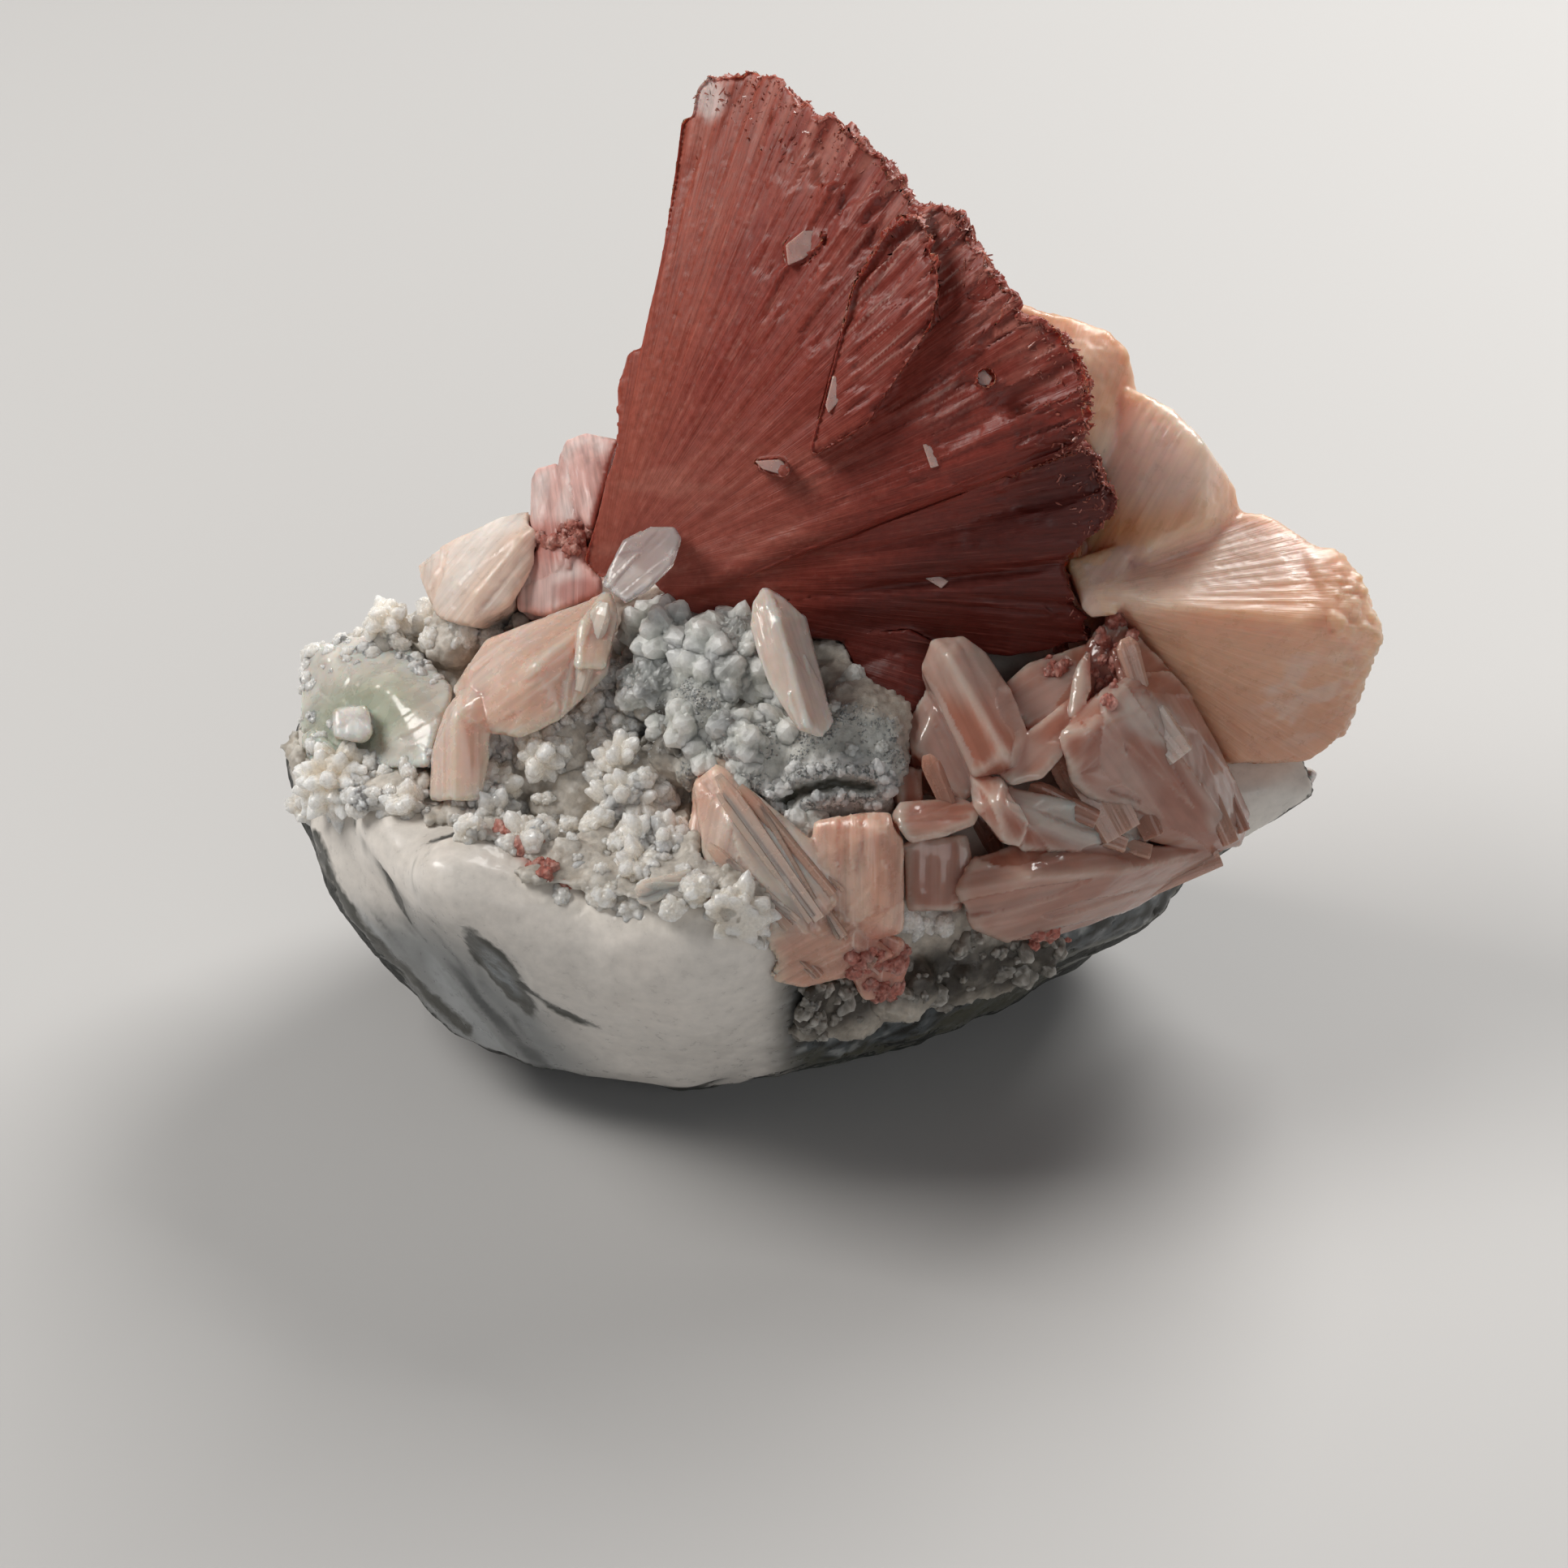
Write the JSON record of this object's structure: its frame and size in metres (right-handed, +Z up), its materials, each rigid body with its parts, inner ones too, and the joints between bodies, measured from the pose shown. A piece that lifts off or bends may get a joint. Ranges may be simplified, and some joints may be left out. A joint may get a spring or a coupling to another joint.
{
  "type": "mineral specimen",
  "caption": "Red stilbite fan with peach, pink and white stilbite and clear heulandite on a quartz-lined piece of pale rock.",
  "frame": {"origin": "middle of the flat face that the rock rests on", "axes": "+Z up, +Y from the smooth pale lip at the front to the rock's back, +X to the right along the longest side, seen from the front"},
  "size_m": [0.0917, 0.0566, 0.0788],
  "materials": {
    "pale_rock": "smooth pale lip, matt dark back",
    "red_stilbite": "silky, striated",
    "clear_heulandite": "clear, flat faced",
    "peach_stilbite": "satin, striated",
    "pink_stilbite": "pearly, flat faced",
    "white_stilbite": "matt white with a pink tint",
    "green_heulandite": "cloudy, greenish white",
    "quartz": "sugary druse and waxy grey-green lumps"
  },
  "bodies": {
    "root": {"rock_matrix": "pale_rock", "red_fan": "red_stilbite", "heulandite_plate": "clear_heulandite", "standing_prism": "pink_stilbite", "peach_sheaves": "peach_stilbite", "pink_blades": "pink_stilbite", "centre_sheaf": "peach_stilbite", "white_side_crystal": "white_stilbite", "left_sheaf": "peach_stilbite", "left_block": "green_heulandite", "back_left_cluster": "white_stilbite", "white_sheaf": "white_stilbite", "quartz_crust": "quartz"}
  },
  "joints": []
}
